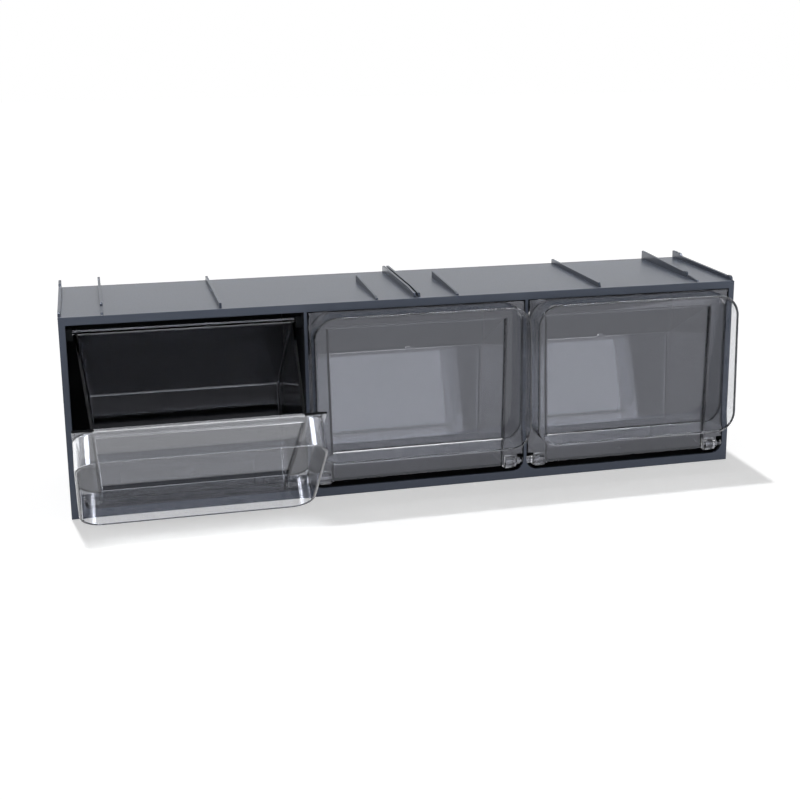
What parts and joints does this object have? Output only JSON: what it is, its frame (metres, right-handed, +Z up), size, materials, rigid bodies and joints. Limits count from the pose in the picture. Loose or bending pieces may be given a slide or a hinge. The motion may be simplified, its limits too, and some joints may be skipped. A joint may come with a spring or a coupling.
{
  "type": "tilt-out storage bin unit",
  "caption": "Dark cabinet with a row of clear storage bins that tip forward on pins at their lower front corners; one bin stands open and fins run across the top.",
  "frame": {"origin": "middle of the cabinet's footprint, on the surface that it stands on", "axes": "+X along the row of bins to the right, +Y to the back, +Z up"},
  "size_m": [0.6, 0.2633, 0.181],
  "materials": {
    "cabinet_abs": "moulded dark blue-grey ABS with a satin sheen",
    "clear_polystyrene": "clear moulded polystyrene, polished, with bright edges"
  },
  "bodies": {
    "cabinet": {"top_panel": "cabinet_abs", "bottom_panel": "cabinet_abs", "back_panel": "cabinet_abs", "left_wall": "cabinet_abs", "right_wall": "cabinet_abs", "left_divider": "cabinet_abs", "right_divider": "cabinet_abs", "top_rail": "cabinet_abs", "bottom_rail": "cabinet_abs", "edge_fins": "cabinet_abs", "locking_fins": "cabinet_abs", "low_fins": "cabinet_abs", "short_fins": "cabinet_abs", "middle_fin": "cabinet_abs", "stop_lugs": "cabinet_abs", "rest_ribs": "cabinet_abs"},
    "left_bin": {"left_bin_front": "clear_polystyrene", "left_bin_grip": "clear_polystyrene", "left_bin_tray": "clear_polystyrene"},
    "middle_bin": {"middle_bin_front": "clear_polystyrene", "middle_bin_grip": "clear_polystyrene", "middle_bin_tray": "clear_polystyrene"},
    "right_bin": {"right_bin_front": "clear_polystyrene", "right_bin_grip": "clear_polystyrene", "right_bin_tray": "clear_polystyrene"}
  },
  "joints": [
    {"name": "left_bin_tilt", "type": "hinge", "parent": "cabinet", "child": "left_bin", "pos_m": [-0.19733, -0.063, 0.016], "axis": [1, 0, 0], "range_deg": [-50, 0]},
    {"name": "middle_bin_tilt", "type": "hinge", "parent": "cabinet", "child": "middle_bin", "pos_m": [0, -0.063, 0.016], "axis": [1, 0, 0], "range_deg": [0, 50]},
    {"name": "right_bin_tilt", "type": "hinge", "parent": "cabinet", "child": "right_bin", "pos_m": [0.19733, -0.063, 0.016], "axis": [1, 0, 0], "range_deg": [0, 50]}
  ]
}
